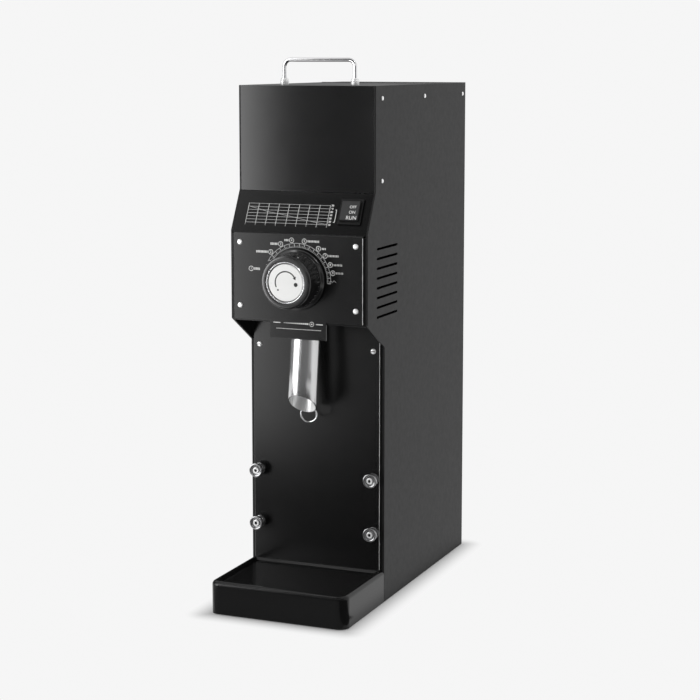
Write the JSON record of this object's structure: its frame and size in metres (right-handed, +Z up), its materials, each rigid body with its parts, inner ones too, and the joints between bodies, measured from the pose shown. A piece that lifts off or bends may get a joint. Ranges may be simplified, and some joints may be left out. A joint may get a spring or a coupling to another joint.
{
  "type": "shop coffee grinder",
  "caption": "Tall narrow shop coffee grinder: lidded bean hopper, slanted chart panel with a rocker, turning grind dial, slanted spout with a pull ring, bag rests and a tray foot.",
  "frame": {"origin": "centre of the footprint at counter level, under the rubber feet", "axes": "+Z up, -Y towards the person at the dial and spout, +X to that person's right"},
  "size_m": [0.1776, 0.4068, 0.653],
  "materials": {
    "black_cover": "satin powder coat",
    "gloss_panel": "gloss",
    "chart_plate": "satin",
    "dial_plate": "semi-gloss",
    "lower_plate": "semi-gloss",
    "base_enamel": "gloss enamel",
    "foot_rubber": "matte",
    "frame_steel": "satin",
    "bin_steel": "brushed",
    "hinge_steel": "satin",
    "bright_steel": "bright",
    "chrome_wire": "polished",
    "turned_steel": "turned",
    "spout_steel": "satin",
    "knob_black": "semi-gloss",
    "cap_white": "gloss",
    "bush_brass": "machined",
    "chamber_cast": "cast",
    "burr_steel": "ground",
    "motor_alloy": "cast",
    "core_steel": "laminated",
    "winding_copper": "varnished",
    "black_plastic": "matte",
    "rocker_grey": "matte",
    "can_alloy": "drawn",
    "button_red": "gloss"
  },
  "bodies": {
    "casing": {"left_side_cover": "black_cover", "right_side_cover": "black_cover", "rear_cover": "black_cover", "top_rear_cover": "black_cover", "upper_front_panel": "gloss_panel", "chart_panel": "chart_plate", "control_panel": "dial_plate", "lower_front_panel": "lower_plate", "underside_panel": "black_cover", "base_casting": "base_enamel", "rubber_feet": "foot_rubber", "chassis_frame": "frame_steel", "motor_cradle": "frame_steel", "hopper_bin": "bin_steel", "fixed_hinge_leaf": "hinge_steel", "hinge_pin": "bright_steel", "cover_screws": "bright_steel", "control_panel_screws": "chrome_wire", "lower_panel_screws": "chrome_wire", "bag_rest_studs": "turned_steel", "stud_screws": "bright_steel", "spout_tube": "spout_steel", "spout_socket": "bright_steel", "dial_bush": "bush_brass", "grinding_chamber": "chamber_cast", "chamber_cover": "chamber_cast", "chamber_bolts": "bright_steel", "stationary_burr": "burr_steel", "front_shield": "motor_alloy", "rear_shield": "motor_alloy", "shaft_bearings": "bright_steel", "motor_housing": "motor_alloy", "stator_core": "core_steel", "stator_windings": "winding_copper", "fan_cover": "black_cover", "run_capacitor": "can_alloy", "control_relay": "black_plastic", "switch_body": "black_plastic", "power_inlet": "black_plastic", "inlet_pins": "bush_brass", "overload_switch": "black_plastic"},
    "lid": {"hopper_lid": "black_cover", "lid_hinge_leaf": "hinge_steel", "lid_handle": "chrome_wire", "handle_ferrules": "chrome_wire"},
    "dial": {"dial_knob": "knob_black", "knob_ring": "chrome_wire", "knob_cap": "cap_white", "adjusting_drum": "bright_steel"},
    "thrust": {"thrust_spindle": "bright_steel"},
    "rotor": {"motor_shaft": "bright_steel", "rotor_core": "core_steel", "feed_auger": "bright_steel", "burr_carrier": "bright_steel", "rotating_burr": "burr_steel", "cooling_fan": "black_plastic"},
    "rocker": {"switch_rocker": "rocker_grey"},
    "pull_ring": {"spout_ring": "chrome_wire"},
    "button": {"reset_button": "button_red"}
  },
  "joints": [
    {"name": "lid_hinge", "type": "hinge", "parent": "casing", "child": "lid", "pos_m": [0, 0.0945, 0.6196], "axis": [-1, 0, 0], "range_deg": [0, 100]},
    {"name": "dial_turn", "type": "hinge", "parent": "casing", "child": "dial", "pos_m": [0, -0.15, 0.3957], "axis": [0, 1, 0], "range_deg": [-125, 80]},
    {"name": "spindle_feed", "type": "slide", "parent": "casing", "child": "thrust", "axis": [0, 1, 0], "range_m": [-0.00052083, 0.00033333]},
    {"name": "rotor_spin", "type": "hinge", "parent": "thrust", "child": "rotor", "pos_m": [0, 0, 0.3957], "axis": [0, 1, 0], "continuous": true},
    {"name": "rocker_tilt", "type": "hinge", "parent": "casing", "child": "rocker", "pos_m": [0.0615, -0.12364, 0.47529], "axis": [1, 0, 0], "range_deg": [-10, 10]},
    {"name": "ring_swing", "type": "hinge", "parent": "casing", "child": "pull_ring", "pos_m": [0, -0.10786, 0.23852], "axis": [1, 0, 0], "range_deg": [0, 55]},
    {"name": "reset_press", "type": "slide", "parent": "casing", "child": "button", "axis": [0, -1, 0], "range_m": [0, 0.0012]}
  ],
  "couplings": [
    {"joint": "dial_turn", "follows": "spindle_feed", "rad_per_m": 4188.8}
  ]
}
